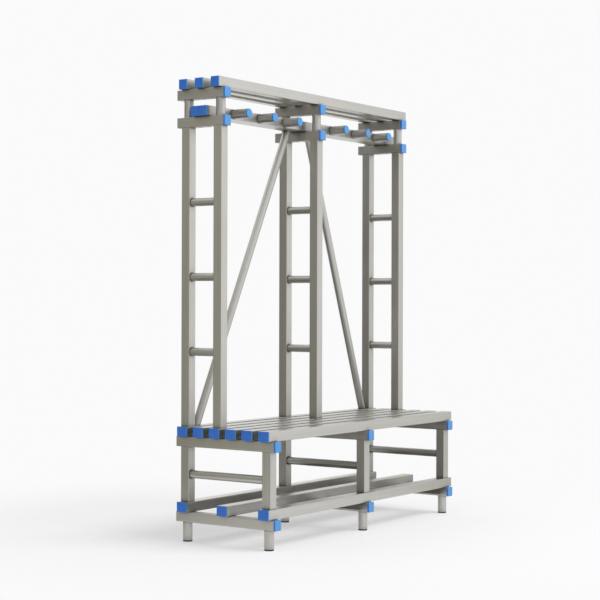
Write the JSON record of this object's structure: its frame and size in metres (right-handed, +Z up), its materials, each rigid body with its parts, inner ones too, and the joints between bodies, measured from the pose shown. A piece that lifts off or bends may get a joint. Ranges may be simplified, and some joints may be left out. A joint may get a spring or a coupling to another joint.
{
  "type": "changing room bench with coat rack",
  "caption": "Free-standing metal changing room bench with a slatted seat, a shoe shelf below, and a tall rack with ladder frames, round coat pegs and a hat shelf.",
  "frame": {"origin": "on the floor, under the middle of the bench's overall box", "axes": "+X along the seat to the right of a person who faces the bench, +Y to the back, +Z up; people sit on the -Y side"},
  "size_m": [1.4, 0.486, 1.828],
  "materials": {
    "tube_steel": "satin brushed",
    "cap_plastic": "moulded, satin",
    "foot_plastic": "moulded, matt",
    "screw_steel": "plain"
  },
  "bodies": {
    "root": {"bearer_back_plugs": "cap_plastic", "bearer_front_caps": "cap_plastic", "board_end_caps": "cap_plastic", "coat_pegs": "tube_steel", "feet": "foot_plastic", "hat_tube_back": "tube_steel", "hat_tube_front": "tube_steel", "hat_tube_middle": "tube_steel", "left_back_core": "tube_steel", "left_back_leg": "tube_steel", "left_back_rack_post": "tube_steel", "left_brace": "tube_steel", "left_floor_bearer": "tube_steel", "left_front_core": "tube_steel", "left_front_leg": "tube_steel", "left_front_rack_post": "tube_steel", "left_rack_bearer": "tube_steel", "left_rack_core": "tube_steel", "left_rungs": "tube_steel", "left_seat_bearer": "tube_steel", "left_top_bearer": "tube_steel", "middle_back_core": "tube_steel", "middle_back_leg": "tube_steel", "middle_back_rack_post": "tube_steel", "middle_floor_bearer": "tube_steel", "middle_front_core": "tube_steel", "middle_front_leg": "tube_steel", "middle_front_rack_post": "tube_steel", "middle_rack_bearer": "tube_steel", "middle_rack_core": "tube_steel", "middle_rungs": "tube_steel", "middle_seat_bearer": "tube_steel", "middle_top_bearer": "tube_steel", "peg_caps": "cap_plastic", "peg_rail_back": "tube_steel", "peg_rail_front": "tube_steel", "rack_end_caps": "cap_plastic", "right_back_core": "tube_steel", "right_back_leg": "tube_steel", "right_back_rack_post": "tube_steel", "right_brace": "tube_steel", "right_floor_bearer": "tube_steel", "right_front_core": "tube_steel", "right_front_leg": "tube_steel", "right_front_rack_post": "tube_steel", "right_rack_bearer": "tube_steel", "right_rack_core": "tube_steel", "right_rungs": "tube_steel", "right_seat_bearer": "tube_steel", "right_top_bearer": "tube_steel", "seat_board_1": "tube_steel", "seat_board_2": "tube_steel", "seat_board_3": "tube_steel", "seat_board_4": "tube_steel", "seat_board_5": "tube_steel", "seat_board_6": "tube_steel", "shelf_tube_back": "tube_steel", "shelf_tube_front": "tube_steel", "shelf_tube_middle": "tube_steel", "tube_screws": "screw_steel"}
  },
  "joints": []
}
